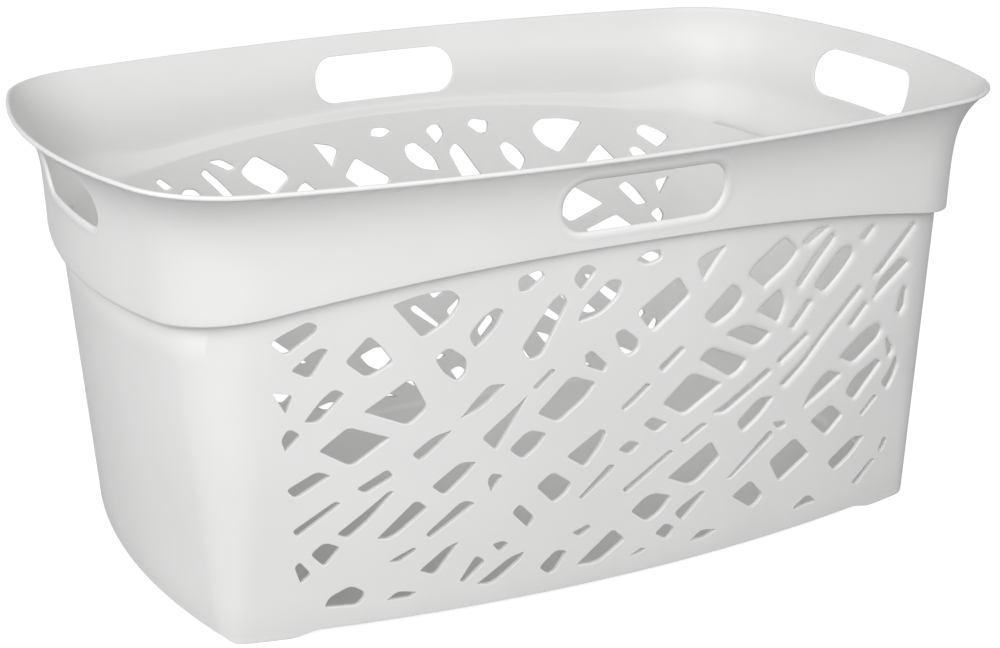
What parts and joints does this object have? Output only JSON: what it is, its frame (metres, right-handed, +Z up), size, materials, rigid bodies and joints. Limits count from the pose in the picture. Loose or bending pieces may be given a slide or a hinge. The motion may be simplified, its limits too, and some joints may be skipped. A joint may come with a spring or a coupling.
{
  "type": "laundry basket",
  "caption": "Open-top plastic laundry basket with lattice long walls, a stepped flared collar, a hand opening in each side and low corner feet.",
  "frame": {"origin": "middle of the basket's length and width, at the floor under the feet", "axes": "+X along the length, to the right of the front wall; +Y towards the back wall; +Z up"},
  "size_m": [0.592, 0.385, 0.2744],
  "materials": {
    "white_plastic": "fine satin moulded surface"
  },
  "bodies": {
    "root": {"base_pan": "white_plastic", "back_lattice_wall": "white_plastic", "right_end_wall": "white_plastic", "back_collar": "white_plastic", "back_rim": "white_plastic", "back_hand_frame": "white_plastic", "right_collar": "white_plastic", "right_rim": "white_plastic", "right_hand_frame": "white_plastic", "wall_back_right_corner": "white_plastic", "wall_back_left_corner": "white_plastic", "collar_back_right_corner": "white_plastic", "collar_back_left_corner": "white_plastic", "rim_back_right_corner": "white_plastic", "rim_back_left_corner": "white_plastic", "foot_back_right_corner": "white_plastic", "foot_back_left_corner": "white_plastic", "front_lattice_wall": "white_plastic", "left_end_wall": "white_plastic", "front_collar": "white_plastic", "front_rim": "white_plastic", "front_hand_frame": "white_plastic", "left_collar": "white_plastic", "left_rim": "white_plastic", "left_hand_frame": "white_plastic", "wall_front_left_corner": "white_plastic", "wall_front_right_corner": "white_plastic", "collar_front_left_corner": "white_plastic", "collar_front_right_corner": "white_plastic", "rim_front_left_corner": "white_plastic", "rim_front_right_corner": "white_plastic", "foot_front_left_corner": "white_plastic", "foot_front_right_corner": "white_plastic"}
  },
  "joints": []
}
